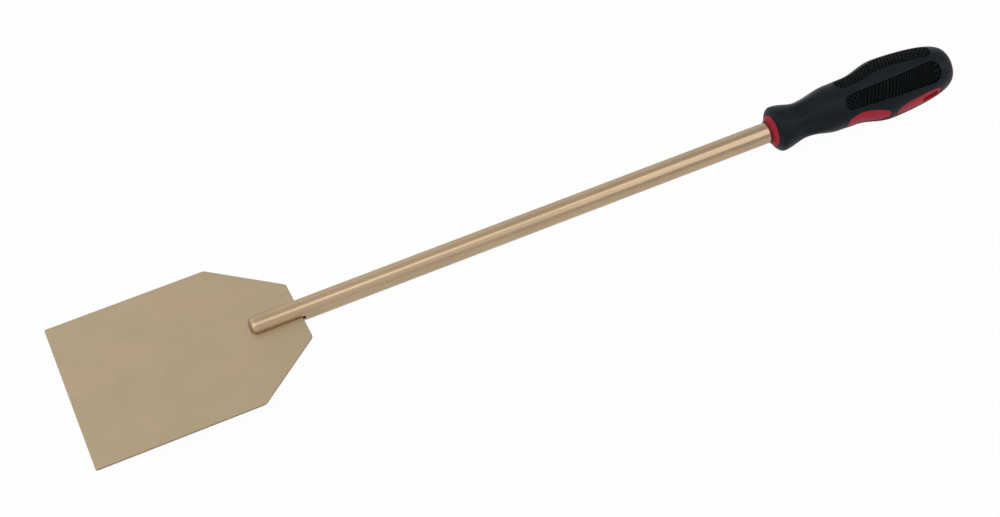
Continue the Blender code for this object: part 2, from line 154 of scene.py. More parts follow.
# Relief of the pads: pitches, slants as a length for each unit across, and the places where fields begin
RIB_DEPTH = 0.0008
RIB_PITCH = 0.0025
PIT_PITCH = 1.4 * RIB_PITCH
CHEVRON_PITCH = 0.84 * RIB_PITCH
RIB_SLANT = 0.40
CHEVRON_SLANT = 0.60
PIT_LEVEL = 0.35
FAN_RIBS = 24
FAN_REACH = 0.010
MIDDLE_RIBS_AT = 0.0605
MIDDLE_CHEVRONS_AT = 0.0885
MIDDLE_FAN_AT = PAD_REAR_CENTRE + 0.001
UPPER_RIBS_AT = 0.0800
UPPER_PITS_AT = 0.1010
FIELD_BLEND = 0.0012
RELIEF_LEVEL = 0.36
RELIEF_GAIN = 0.75

# Blocks of the grip's skin: each of the six lobes is a sixth of the way round
LOBES = 6
LOBE_FRONT = 0.0482
LOBE_MIDDLE = 0.0837
LOBE_REAR = 0.1247
OPENING_ROUNDING = 0.0004
PAD_CLOCKS = [GRIP_CLOCK + math.radians(a) for a in (0, 60, 180, 240)]
WINDOW_CLOCKS = [GRIP_CLOCK + math.radians(a) for a in (120, 300)]
WINDOW_BLOCKS = [
    (LOBE_FRONT, LOBE_MIDDLE, FRONT_WINDOW, False),
    (LOBE_MIDDLE, LOBE_REAR, REAR_WINDOW, True),
]

# Fineness of the meshes: a step's length, counts, and the power that draws the body's rows to the front
ALONG_STEP = 0.0005
ACROSS_STEPS = 40
CIRCLE_POINTS = 60
WINDOW_POINTS = 240
ROUND_COLUMNS = 144
BUTT_COLUMNS = 180
BUTT_RINGS = 36
LAND_RINGS = 25
PAD_RINGS = 31
PAD_STEPS = (300, 60)
BODY_ROWS = 100
BODY_SPACING = 1.15

# Limits for points that weld, for edges that vanish and for edges that look sharp
WELD_DISTANCE = 2e-6
SMALLEST_EDGE = 1e-7
SHARP_ANGLE = math.radians(50)

# Stage
FLOOR_Z = -0.0215
FLOOR_REACH = 4
FLOOR_GLOW = 0.97
CAMERA_TURNS = [(-43.591, "X"), (12.976, "Y"), (21.004, "Z")]
CAMERA_SHIFT = (0.25886, 0.08391, 1.11496)
CAMERA_LENS = 66.816
CAMERA_SENSOR = 36
CAMERA_NEAR = 0.01


class Skin:
    """Grids of points that are welded into one mesh."""

    def __init__(self):
        self.points = []
        self.faces = []
        self.heights = []
        self.count = 0

    def grid(self, points):
        """Adds a grid of points, shaped rows by columns by 3, with each row closed on itself."""
        rows, columns = points.shape[:2]
        index = np.arange(rows * columns).reshape(rows, columns) + self.count
        index = np.concatenate([index, index[:, :1]], axis=1)
        quads = np.stack([index[:-1, :-1], index[:-1, 1:], index[1:, 1:], index[1:, :-1]], axis=-1)
        self.points.append(points.reshape(-1, 3))
        self.faces.append(quads.reshape(-1, 4))
        self.count += rows * columns

    def finish(self, name, material, node, slot):
        """Welds the grids, turns their faces outwards and puts the mesh in the place of a CAD node."""
        mesh = bpy.data.meshes.new(name)
        mesh.from_pydata(np.concatenate(self.points), [], np.concatenate(self.faces).tolist())
        if self.heights:
            relief = mesh.attributes.new("relief", "FLOAT", "POINT")
            relief.data.foreach_set("value", np.concatenate(self.heights).astype(np.float32))
        bm = bmesh.new()
        bm.from_mesh(mesh)
        bmesh.ops.remove_doubles(bm, verts=bm.verts, dist=WELD_DISTANCE)
        bmesh.ops.dissolve_degenerate(bm, edges=bm.edges, dist=SMALLEST_EDGE)
        bmesh.ops.recalc_face_normals(bm, faces=bm.faces)
        bm.to_mesh(mesh)
        bm.free()
        mesh.shade_smooth()
        mesh.set_sharp_from_angle(angle=SHARP_ANGLE)
        mesh.materials.append(material)
        piece = bpy.data.objects.new(name, mesh)
        bpy.context.scene.collection.objects.link(piece)
        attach(piece, "root")
        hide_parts(node)


# Shapes


def ease(share):
    """0 to 1 along half a cosine wave."""
    return (1 - np.cos(np.pi * share)) / 2


def grip_radius(x):
    """Outer radius of the grip at x from its front.

    A quarter sine wave rises from the lip to the collar. Half cosine waves join collar, waist, neck, swell
    and belly. Behind the belly the radius is a high root of 1 less a power of the share of the way to the
    butt.
    """
    rise = np.sin(np.clip((x - LIP_AT) / (COLLAR_AT - LIP_AT), 0, 1) ** LIP_FULLNESS * np.pi / 2)
    radius = LIP_RADIUS + (COLLAR_RADIUS - LIP_RADIUS) * rise
    for start, end, step in (
        (COLLAR_AT, WAIST_AT, WAIST_RADIUS - COLLAR_RADIUS),
        (WAIST_AT, NECK_AT, NECK_RADIUS - WAIST_RADIUS),
        (NECK_AT, SWELL_AT, SWELL_RADIUS - NECK_RADIUS),
        (SWELL_AT, BELLY_AT, BELLY_RADIUS - SWELL_RADIUS),
    ):
        radius = radius + step * ease(np.clip((x - start) / (end - start), 0, 1))
    share = np.clip((x - BELLY_AT) / (GRIP_LENGTH - BELLY_AT), 0, 1)
    tail = BELLY_RADIUS * (1 - share**TAIL_FULLNESS) ** (1 / TAIL_ROUNDNESS)
    return np.where(x > BELLY_AT, tail, radius)


def tail_place(radius):
    """Where behind the belly the grip has a radius: the inverse of grip_radius."""
    share = (1 - np.clip(radius / BELLY_RADIUS, 0, 1) ** TAIL_ROUNDNESS) ** (1 / TAIL_FULLNESS)
    return BELLY_AT + (GRIP_LENGTH - BELLY_AT) * share


def turned(x, y, z, clock):
    """Points of a lobe's own frame, with z out of its middle, turned to the lobe's clock angle."""
    across = y * math.cos(clock) - z * math.sin(clock)
    up = y * math.sin(clock) + z * math.cos(clock)
    return np.stack([GRIP_X + x, across, up], axis=-1)


def on_lobe(x, y, inset, clock):
    """Points of the grip's outside, sunk by inset: z is the root of the squared radius less y squared."""
    return turned(x, y, np.sqrt((grip_radius(x) - inset) ** 2 - y**2), clock)


def spun(x, radius, columns, clock=0.0):
    """Rings of a profile about the bar's axis, one row for each place.

    The radius may differ from column to column.
    """
    angle = np.linspace(0, 2 * np.pi, columns, endpoint=False)[None, :] + clock
    x, radius = np.broadcast_arrays(x[:, None], radius.reshape(len(x), -1) + 0 * angle)
    return np.stack([GRIP_X + x, -radius * np.sin(angle), radius * np.cos(angle)], axis=-1)


def evenly(points, steps):
    """Points along a dense run, spaced evenly by length, without the last, where the next run begins."""
    length = np.concatenate([[0], np.cumsum(np.hypot(*np.diff(points, axis=0).T))])
    place = np.linspace(0, length[-1], steps, endpoint=False)
    return np.stack([np.interp(place, length, points[:, k]) for k in (0, 1)], axis=-1)


def circle_run(centre, radius, start, end):
    """Part of a circle about a place on the axis, from one angle to another in degrees."""
    angle = np.radians(np.linspace(start, end, CIRCLE_POINTS))
    return np.stack([centre + radius * np.cos(angle), radius * np.sin(angle)], axis=-1)


def window_outline(place, half_length):
    """A window's outline as a function of how far it is grown."""
    return lambda grow: window_runs(place, half_length + grow, WINDOW_HALF_WIDTH + grow)


def window_runs(place, half_length, half_width):
    """The four runs of a superellipse, each a quarter from corner to corner: powers of cosine and sine."""
    power = 2 / WINDOW_FULLNESS
    runs = []
    for k in range(4):
        angle = np.linspace(k - 1.5, k - 0.5, WINDOW_POINTS) * np.pi / 2
        cos, sin = np.cos(angle), np.sin(angle)
        x = place + half_length * np.sign(cos) * np.abs(cos) ** power
        y = half_width * np.sign(sin) * np.abs(sin) ** power
        runs.append(np.stack([x, y], axis=-1))
    return runs


def pad_runs(grow):
    """The four runs of two circles joined by their common tangents, grown outwards."""
    front, rear = PAD_FRONT_RADIUS + grow, PAD_REAR_RADIUS + grow
    lean = math.degrees(math.asin((rear - front) / (PAD_REAR_CENTRE - PAD_FRONT_CENTRE)))
    front_part = circle_run(PAD_FRONT_CENTRE, front, 225, 270 - lean)
    rear_part = circle_run(PAD_REAR_CENTRE, rear, 270 - lean, 315)
    near = np.concatenate([front_part, rear_part])
    end = circle_run(PAD_REAR_CENTRE, rear, -45, 45)
    start = circle_run(PAD_FRONT_CENTRE, front, 135, 225)
    return [near, end, near[::-1] * (1, -1), start]


def pocket_outline(grow):
    """A pocket's outline, which clears its pad, grown outwards."""
    return pad_runs(PAD_CLEARANCE + grow)


def hole_runs(grow):
    """The four runs of the hang hole's slot outline: two half circles joined by straight sides."""
    radius = HOLE_HALF_WIDTH + grow
    reach = HOLE_HALF_LENGTH - HOLE_HALF_WIDTH
    front_part = circle_run(HOLE_AT - reach, radius, 225, 270)
    rear_part = circle_run(HOLE_AT + reach, radius, 270, 315)
    near = np.concatenate([front_part, rear_part])
    end = circle_run(HOLE_AT + reach, radius, -45, 45)
    start = circle_run(HOLE_AT - reach, radius, 135, 225)
    return [near, end, near[::-1] * (1, -1), start]


def loop(runs, steps):
    """A closed outline from its four runs, with so many steps along and across."""
    return np.concatenate([evenly(run, steps[k % 2]) for k, run in enumerate(runs)])


def block_steps(start, end):
    """How many steps a block takes along and across."""
    return round((end - start) / ALONG_STEP), ACROSS_STEPS


def block_border(start, end, steps):
    """The border of a lobe's block in x and y, from its front corner round to it again.

    A lobe ends 30 degrees to each side of its middle, where y is half the radius.
    """
    along = np.linspace(start, end, steps[0], endpoint=False)
    across = np.radians(np.linspace(-30, 30, steps[1], endpoint=False))
    ends = []
    for x in (end, start):
        place = x + 0 * across
        ends.append(np.stack([place, grip_radius(place) * np.sin(across)], axis=-1))
    near = np.stack([along, -grip_radius(along) / 2], axis=-1)
    back = np.linspace(end, start, steps[0], endpoint=False)
    far = np.stack([back, grip_radius(back) / 2], axis=-1)
    return np.concatenate([near, ends[0], far, ends[1] * (1, -1)])


def lip_rings(outline, steps, depth, ledge):
    """Rings of an opening's edge as (ring, inset): a quarter round, a wall and a ledge inwards."""
    rings = []
    for angle in np.radians(np.linspace(0, 90, 6)):
        grow = OPENING_ROUNDING * (1 - math.sin(angle))
        rings.append((loop(outline(grow), steps), OPENING_ROUNDING * (1 - math.cos(angle))))
    rings.append((rings[-1][0], depth))
    if ledge:
        rings.append((loop(outline(-ledge), steps), depth))
    return rings


def block_with_opening(skin, start, end, outline, depth, ledge, clock):
    """A lobe's block from its border to an outline, and on over the outline's rounded lip, down its wall."""
    steps = block_steps(start, end)
    border = block_border(start, end, steps)
    rings = lip_rings(outline, steps, depth, ledge)
    share = np.linspace(0, 1, 9)[:-1, None, None]
    flat = border + (rings[0][0] - border) * share
    skin.grid(on_lobe(flat[..., 0], flat[..., 1], 0, clock))
    last = np.concatenate([flat[-1:], np.stack([ring for ring, _ in rings])])
    inset = np.array([0.0] + [inset for _, inset in rings])[:, None]
    skin.grid(on_lobe(last[..., 0], last[..., 1], inset, clock))


# Materials


class Wire:
    """An output of a node. Arithmetic on it adds Math nodes."""

    def __init__(self, graph, socket):
        self.graph = graph
        self.socket = socket

    def maths(self, operation, *values):
        """Adds a Math node that takes wires or numbers."""
        return self.graph.node("Math", {"operation": operation}, dict(enumerate(values)))

    def __add__(self, other):
        return self.maths("ADD", self, other)

    def __radd__(self, other):
        return self.maths("ADD", other, self)

    def __sub__(self, other):
        return self.maths("SUBTRACT", self, other)

    def __rsub__(self, other):
        return self.maths("SUBTRACT", other, self)

    def __mul__(self, other):
        return self.maths("MULTIPLY", self, other)

    def __rmul__(self, other):
        return self.maths("MULTIPLY", other, self)

    def __truediv__(self, other):
        return self.maths("DIVIDE", self, other)

    def band(self, low, high):
        """0 at low, 1 at high, smooth between them and clamped."""
        span = {"Value": self, "From Min": low, "From Max": high}
        return self.graph.node("MapRange", {"interpolation_type": "SMOOTHSTEP"}, span)


class Graph:
    """The node tree of a material or of the world."""

    def __init__(self, tree):
        self.tree = tree

    def node(self, kind, settings, sockets, output=0):
        """Adds a node, sets its settings, fills its sockets with values or wires and returns an output."""
        node = self.tree.nodes.new("ShaderNode" + kind)
        for key, value in settings.items():
            setattr(node, key, value)
        for key, value in sockets.items():
            self.feed(node.inputs[key], value)
        return Wire(self, node.outputs[output])

    def feed(self, socket, value):
        """Links a wire to a socket, or sets the socket's value."""
        if isinstance(value, Wire):
            self.tree.links.new(value.socket, socket)
        else:
            socket.default_value = value

    def mix(self, factor, first, second):
        """A colour between two, which are wires or tuples of three."""
        colours = [c if isinstance(c, Wire) else (*c, 1.0) for c in (first, second)]
        return self.node("Mix", {"data_type": "RGBA"}, {0: factor, 6: colours[0], 7: colours[1]}, 2)


class Finish(Graph):
    """A Principled material, with its constants set on the shader's own sockets."""

    def __init__(self, name, **constants):
        self.material = bpy.data.materials.new(name)
        self.material.use_nodes = True
        super().__init__(self.material.node_tree)
        self.sockets = self.tree.nodes["Principled BSDF"].inputs
        for key, value in constants.items():
            self.sockets[key.replace("_", " ")].default_value = value
        self.place = self.node("TexCoord", {}, {}, "Object")

    def noise(self, size, detail, stretch=(1, 1, 1), roughness=0.5):
        """Noise with blobs of a size in metres, stretched along each axis."""
        scale = tuple(1 / (size * s) for s in stretch)
        vector = self.node("Mapping", {}, {"Vector": self.place, "Scale": scale})
        sockets = {"Vector": vector, "Scale": 1.0, "Detail": detail, "Roughness": roughness}
        return self.node("TexNoise", {}, sockets)

    def axis(self, name):
        """One coordinate of the place, in metres."""
        return self.node("SeparateXYZ", {}, {0: self.place}, name)

    def colour(self, wire):
        """Feeds the shader's base colour."""
        self.feed(self.sockets["Base Color"], wire)

    def roughness(self, wire):
        """Feeds the shader's roughness."""
        self.feed(self.sockets["Roughness"], wire)

    def bump(self, height, depth):
        """Feeds the shader's normal from a height of 0 to 1 that stands for a depth in metres."""
        sockets = {"Strength": 1.0, "Distance": depth, "Height": height}
        self.feed(self.sockets["Normal"], self.node("Bump", {}, sockets))


def bronze_plate():
    """Rolled bronze sheet: satin, with broad faint clouds, a fine tooth and faint scratches.

    The clouds are warmer or greener. Its cut edges, the heights between the two faces, are darker.
    """
    warm, green, dull = (0.486, 0.368, 0.256), (0.452, 0.373, 0.240), (0.432, 0.352, 0.216)
    scratched, cut_colour = (0.40, 0.31, 0.20), (0.27, 0.205, 0.13)
    finish = Finish("bronze plate finish", Metallic=1.0)
    clouds = finish.noise(0.050, 2.0)
    patches = finish.noise(0.022, 3.0)
    tooth = finish.noise(0.0005, 2.0)
    scratches = finish.noise(0.0006, 3.0, stretch=(40, 1, 1))
    height = finish.axis("Z")
    cut = 1 - height.maths("ABSOLUTE", height).band(0.00050, 0.00072)
    colour = finish.mix(clouds.band(0.30, 0.70), warm, green)
    colour = finish.mix(patches.band(0.40, 0.80) * 0.6, colour, dull)
    colour = finish.mix(scratches.band(0.55, 0.80) * 0.08, colour, scratched)
    finish.colour(finish.mix(cut * 0.8, colour, cut_colour))
    finish.roughness(0.38 + 0.08 * patches + 0.06 * scratches)
    finish.bump(0.6 * tooth + 0.4 * scratches, 0.000012)
    return finish.material


def bronze_bar():
    """Drawn bronze bar: satin, with faint lines along it and a little tint where it was brazed."""
    pale, deep = (0.508, 0.374, 0.242), (0.475, 0.352, 0.231)
    drawn, heated = (0.44, 0.315, 0.20), (0.44, 0.31, 0.185)
    finish = Finish("bronze bar finish", Metallic=1.0)
    lines = finish.noise(0.0004, 3.0, stretch=(120, 1, 1))
    clouds = finish.noise(0.012, 3.0, stretch=(3, 1, 1))
    tooth = finish.noise(0.0004, 2.0)
    heat = finish.axis("X").band(0.185, 0.125)
    colour = finish.mix(clouds.band(0.35, 0.65), pale, deep)
    colour = finish.mix(lines.band(0.5, 0.8) * 0.35, colour, drawn)
    colour = finish.mix(heat * 0.5, colour, heated)
    finish.colour(colour)
    finish.roughness(0.14 + 0.10 * lines + 0.06 * clouds)
    finish.bump(0.7 * lines + 0.3 * tooth, 0.00001)
    return finish.material


def braze_filler():
    """Filler metal: as bright as the bar on the left; on the right a dull dark brown, partly flux residue and
    partly painted shade of the crevice along the bar.
    """
    residue_and_shade_brown, deep_residue_and_shade_brown, bright = (0.16, 0.105, 0.058), (0.07, 0.045, 0.025), (0.46, 0.345, 0.228)
    finish = Finish("braze finish", Metallic=1.0)
    lumps = finish.noise(0.0015, 3.0)
    # painted shade: the right side's dark brown stands partly for the crevice's shade along the bar, partly
    # for flux residue
    shaded_residue = finish.mix(lumps.band(0.3, 0.7), residue_and_shade_brown, deep_residue_and_shade_brown)
    finish.colour(finish.mix(finish.axis("Y").band(0.0, 0.005), shaded_residue, bright))
    finish.roughness(0.38 + 0.2 * lumps)
    finish.bump(lumps, 0.0002)
    return finish.material


def moulded(name, colours, roughness, grain, specular, root_shade_colour=None):
    """A moulded plastic with a spark-eroded grain, a slow change of tone and a few rubbed places.

    With a root shade colour it is painted darker round the bar, where the front ring meets it: painted shade
    in that corner.
    """
    finish = Finish(name, Metallic=0.0, Specular_IOR_Level=specular)
    grains = finish.noise(grain, 3.0)
    tone = finish.noise(0.018, 3.0)
    rubbed = finish.noise(0.006, 5.0, roughness=0.7)
    tint = finish.mix(tone.band(0.3, 0.7), *colours)
    if root_shade_colour:
        # painted shade: the red darkens round the bar at the ring's front, where the bar meets the ring
        y, z = finish.axis("Y"), finish.axis("Z")
        from_axis = finish.node("Math", {"operation": "SQRT"}, {0: y * y + z * z})
        at_front = 1 - finish.axis("X").band(*[GRIP_X + place for place in ROOT_SHADE_PLACES])
        tint = finish.mix(at_front * (1 - from_axis.band(*ROOT_SHADE_RADII)), tint, root_shade_colour)
    finish.colour(tint)
    finish.roughness(roughness + 0.10 * tone - 0.12 * rubbed.band(0.55, 0.75))
    finish.bump(grains, 0.00002)
    return finish.material


def red_plastic():
    """The core's hard red plastic, with painted shade at the front ring's root, round the bar."""
    # the root colour is painted shade where the ring meets the bar
    colours, root_shade_colour = [(0.325, 0.0115, 0.028), (0.29, 0.0095, 0.025)], (0.10, 0.003, 0.002)
    return moulded("red moulding finish", colours, 0.42, 0.0004, 0.15, root_shade_colour)


def black_plastic():
    """The sleeve's black plastic."""
    colours = [(0.0036, 0.0065, 0.0088), (0.0046, 0.0075, 0.0098)]
    return moulded("black sleeve finish", colours, 0.36, 0.00035, 0.12)


def ribbed_rubber():
    """The pads' rubber, paler and rubbed on top of the ribs; the black down in the relief is painted shade of
    the grooves.
    """
    groove_shade_black, rubbed_black = (0.0005, 0.0008, 0.0009), (0.0038, 0.0055, 0.0062)
    finish = Finish("black pad finish", Metallic=0.0, Specular_IOR_Level=0.07)
    relief = finish.node("Attribute", {"attribute_name": "relief"}, {}, 2)
    grains = finish.noise(0.0003, 3.0)
    tone = finish.noise(0.0018, 4.0)
    # painted shade: low parts of the relief are painted near black as the grooves' shade; the same mask
    # lowers roughness on worn rib tops
    wear_and_groove_shade = relief.band(0.15, 0.95) * (0.35 + tone.band(0.30, 0.70))
    finish.colour(finish.mix(wear_and_groove_shade, groove_shade_black, rubbed_black))
    finish.roughness(0.72 - 0.22 * wear_and_groove_shade + 0.08 * grains)
    finish.bump(grains, 0.00003)
    return finish.material


# Pieces


def make_sleeve(material):
    """The black outer moulding: a turned front, a block of skin for each pad and window, and a round tail.

    Six faint ridges, a cosine wave round the neck, fade in and out along it as a squared sine.
    """
    skin = Skin()
    columns = LOBES * ACROSS_STEPS
    clock = PAD_CLOCKS[0] - math.radians(30)
    turn_in = np.radians(np.linspace(-90, 90, 9))
    mouth = np.array(MOUTH_PLACES)
    edge = 0.5 * (LIP_RADIUS - MOUTH_RADIUS)
    x = np.concatenate([mouth, LIP_AT + edge - edge * np.cos(turn_in)])
    radius = np.concatenate([0 * mouth + MOUTH_RADIUS, MOUTH_RADIUS + edge + edge * np.sin(turn_in)])
    body = np.linspace(0, 1, BODY_ROWS)[1:] ** BODY_SPACING * (LOBE_FRONT - LIP_AT) + LIP_AT
    angle = np.linspace(0, 2 * np.pi, columns, endpoint=False) + clock
    reach = np.clip((body - RIDGES_AT) / (LOBE_FRONT - RIDGES_AT), 0, 1)[:, None]
    wave = 1 + np.cos(LOBES * (angle - GRIP_CLOCK))
    ridges = RIDGE_HEIGHT * np.sin(np.pi * reach) ** 2 * wave / 2
    radius = np.concatenate([radius[:, None] + 0 * angle, grip_radius(body)[:, None] + ridges])
    skin.grid(spun(np.concatenate([x, body]), radius, columns, clock))

    for pad_clock in PAD_CLOCKS:
        block_with_opening(
            skin, LOBE_FRONT, LOBE_REAR, pocket_outline, POCKET_DEPTH, POCKET_LEDGE, pad_clock
        )
    for window_clock in WINDOW_CLOCKS:
        for start, end, window, _ in WINDOW_BLOCKS:
            block_with_opening(skin, start, end, window_outline(*window), SLEEVE_WALL, 0, window_clock)

    rings = []
    for share in np.linspace(0, 1, BUTT_RINGS):
        oval = butt_radius(angle, OPENING_ROUNDING)
        rings.append((grip_radius(LOBE_REAR) + (oval - grip_radius(LOBE_REAR)) * share, 0.0))
    for turn in np.radians(np.linspace(0, 90, 6))[1:]:
        oval = butt_radius(angle, OPENING_ROUNDING * (1 - math.sin(turn)))
        rings.append((oval, OPENING_ROUNDING * (1 - math.cos(turn))))
    rings.append((butt_radius(angle, 0.0), BUTT_WALL_DEPTH))
    radius = np.stack([ring + 0 * angle for ring, _ in rings])
    inset = np.array([inset for _, inset in rings])[:, None]
    skin.grid(at_butt(radius, angle, inset))
    skin.finish("sleeve_skin", material, "grip_sleeve", "black sleeve moulding")


def butt_radius(angle, grow):
    """Distance from the axis to the butt's oval, a superellipse whose length lies along the hang hole."""
    turn = angle - WINDOW_CLOCKS[0]
    long, wide = BUTT_HALF_LENGTH + grow, BUTT_HALF_WIDTH + grow
    total = np.abs(np.cos(turn) / long) ** BUTT_FULLNESS + np.abs(np.sin(turn) / wide) ** BUTT_FULLNESS
    return total ** (-1 / BUTT_FULLNESS)


def at_butt(radius, angle, inset):
    """Points of the grip's round end at a distance from the axis, sunk along it by inset."""
    x = tail_place(radius) - inset
    return np.stack([GRIP_X + x, -radius * np.sin(angle), radius * np.cos(angle)], axis=-1)


def make_core(material):
    """The red inner moulding where it shows: front ring, window lands, butt oval and the hang hole's walls.

    The ring's face rises forwards from its rounded rim to the bar, as a power of the share of the way.
    """
    skin = Skin()
    corner = np.radians(np.linspace(0, 90, 7))
    rim_x = BEAD_FRONT + BEAD_ROUND * (1 - np.sin(corner))
    rim_r = BEAD_RADIUS - BEAD_ROUND * (1 - np.cos(corner))
    share = np.linspace(0, 1, 13)[1:]
    face_x = BEAD_FRONT - FLARE_RISE * share**FLARE_CURVE
    face_r = rim_r[-1] + (BAR_RADIUS + FLARE_BAR_GAP - rim_r[-1]) * share
    ring_x = np.concatenate([[BEAD_BACK], rim_x, face_x, [FLARE_BACK]])
    ring_r = np.concatenate([[BEAD_RADIUS], rim_r, face_r, face_r[-1:]])
    skin.grid(spun(ring_x, ring_r, ROUND_COLUMNS))

    for clock in WINDOW_CLOCKS:
        for start, end, (place, half_length), holed in WINDOW_BLOCKS:
            steps = block_steps(start, end)
            edge = loop(window_outline(place, half_length)(LAND_OVERLAP), steps)
            if holed:
                inner_ring = loop(hole_runs(HOLE_ROUNDING), steps)
            else:
                along = np.clip(edge[:, 0], place - LAND_SPINE, place + LAND_SPINE)
                inner_ring = np.stack([along, 0 * edge[:, 1]], axis=-1)
            share = np.linspace(0, 1, LAND_RINGS)[:, None, None]
            flat = edge + (inner_ring - edge) * share
            skirt = np.concatenate([flat[:1], flat])
            inset = np.concatenate([[SLEEVE_WALL], np.full(len(flat), LAND_INSET)])[:, None]
            skin.grid(on_lobe(skirt[..., 0], skirt[..., 1], inset, clock))
            if holed:
                make_hole_wall(skin, steps, clock)

    angle = np.linspace(0, 2 * np.pi, BUTT_COLUMNS, endpoint=False)
    share = np.linspace(1, 0, LAND_RINGS)[:, None]
    radius = butt_radius(angle, BUTT_OVERLAP) * share
    inset = np.maximum(0, tail_place(radius) - GRIP_LENGTH + LAND_INSET)
    radius = np.concatenate([radius[:1], radius])
    inset = np.concatenate([np.full((1, BUTT_COLUMNS), BUTT_SKIRT_DEPTH), inset])
    skin.grid(at_butt(radius, angle[None, :], inset))
    skin.finish("core_skin", material, "grip_core", "red core moulding")


def make_hole_wall(skin, steps, clock):
    """Half of the hang hole: a rounded mouth that follows the land, and a wall to the grip's middle."""
    rings = []
    for angle in np.radians(np.linspace(0, 90, 7)):
        ring = loop(hole_runs(HOLE_ROUNDING * (1 - math.sin(angle))), steps)
        top = np.sqrt((grip_radius(ring[:, 0]) - LAND_INSET) ** 2 - ring[:, 1] ** 2)
        rings.append((ring, top - HOLE_ROUNDING * (1 - math.cos(angle))))
    ring, top = rings[-1]
    rings += [(ring, top * share) for share in np.linspace(1, 0, 9)[1:]]
    flat = np.stack([ring for ring, _ in rings])
    skin.grid(turned(flat[..., 0], flat[..., 1], np.stack([top for _, top in rings]), clock))


def rib_height(x, y, in_middle):
    """Height of a pad's relief, 0 to 1, from cosine waves.

    A middle pad has a grid of pits in front, then slanted ribs, then finer chevrons that point forwards, and
    a fan at the rear. An upper pad has slanted ribs between two fields of pits.
    """
    pits = PIT_LEVEL - np.cos(2 * np.pi * x / PIT_PITCH) * np.cos(2 * np.pi * y / PIT_PITCH)
    slanted = np.cos(2 * np.pi * (x - RIB_SLANT * y) / RIB_PITCH)
    chevrons = np.cos(2 * np.pi * (x - CHEVRON_SLANT * np.abs(y)) / CHEVRON_PITCH)
    fan = np.cos(np.arctan2(y, x - PAD_REAR_CENTRE + FAN_REACH) * FAN_RIBS)
    if in_middle:
        fields = [(slanted, MIDDLE_RIBS_AT), (chevrons, MIDDLE_CHEVRONS_AT), (fan, MIDDLE_FAN_AT)]
    else:
        fields = [(slanted, UPPER_RIBS_AT), (pits, UPPER_PITS_AT)]
    height = pits
    for field, start in fields:
        height = height + (field - height) * ease(np.clip((x - start) / FIELD_BLEND, 0, 1))
    return ease(np.clip(RELIEF_LEVEL + RELIEF_GAIN * height, 0, 1))


def make_pad(k, clock, material):
    """A ribbed pad: rings from its outline in to its spine, with the relief taken off the grip's outside."""
    skin = Skin()
    edge = loop(pad_runs(0.0), PAD_STEPS)
    along = np.clip(edge[:, 0], PAD_FRONT_CENTRE, PAD_REAR_CENTRE)
    spine = np.stack([along, 0 * edge[:, 1]], axis=-1)
    flat = edge + (spine - edge) * np.linspace(0, 1, PAD_RINGS)[:, None, None]
    x, y = flat[..., 0], flat[..., 1]
    border = np.linalg.norm(flat - edge, axis=-1)
    rearwards = ease(np.clip((x - PAD_REAR_CENTRE) / PAD_REAR_RADIUS, 0, 1))
    margin = PAD_MARGIN + PAD_MARGIN_GROWTH * rearwards
    rim = np.sin(np.clip(border / margin, 0, 1) * np.pi / 2)
    height = rib_height(x, y, k % 2) * rim
    top = on_lobe(x, y, PAD_INSET + RIB_DEPTH * (1 - height), clock)
    foot = on_lobe(x[:1], y[:1], POCKET_DEPTH, clock)
    skin.grid(np.concatenate([foot, top]))
    skin.heights.append(np.concatenate([height[:1], height]).ravel())
    skin.finish(f"pad_skin_{k + 1}", material, f"grip_pad_{k + 1}", "black pad moulding")


def make_bar(material):
    """The round bar, and the two half-round fingers with a rounded nose, one on each side of the blade."""
    skin = Skin()
    turn = np.radians(np.linspace(0, 90, 13))
    x = NOSE_X + NOSE_ROUND * (1 - np.cos(turn))
    radius = BAR_RADIUS - NOSE_ROUND + NOSE_ROUND * np.sin(turn)
    straight = np.linspace(NOSE_X + NOSE_ROUND, SLOT_END_X, 20)[1:]
    x = np.concatenate([x, straight])
    radius = np.concatenate([radius, np.full(len(straight), BAR_RADIUS)])
    for side in (1, -1):
        low = np.arcsin(SLOT_HALF_WIDTH / radius)[:, None]
        angle = low + (np.pi - 2 * low) * np.linspace(0, 1, 73)[None, :]
        y, z = radius[:, None] * np.cos(angle), side * radius[:, None] * np.sin(angle)
        place = x[:, None] + 0 * y
        finger = np.stack([place, y, z], axis=-1)
        share = np.linspace(0, 1, 13)[None, 1:-1, None]
        flat = finger[:, -1:] + (finger[:, :1] - finger[:, -1:]) * share
        ring = np.concatenate([finger, flat], axis=1)
        middle = ring[:1] * (1, 0, 0) + (0, 0, side * (SLOT_HALF_WIDTH + radius[0]) / 2)
        skin.grid(np.concatenate([middle, ring]))
    x = np.linspace(SLOT_END_X, TANG_END_X, 60)
    x = np.concatenate([x[:1], x, x[-1:]])
    radius = np.full(len(x), BAR_RADIUS)
    radius[0] = radius[-1] = 0
    skin.grid(spun(x - GRIP_X, radius, ROUND_COLUMNS))
    skin.finish("bar_skin", material, "shaft", "bronze bar")


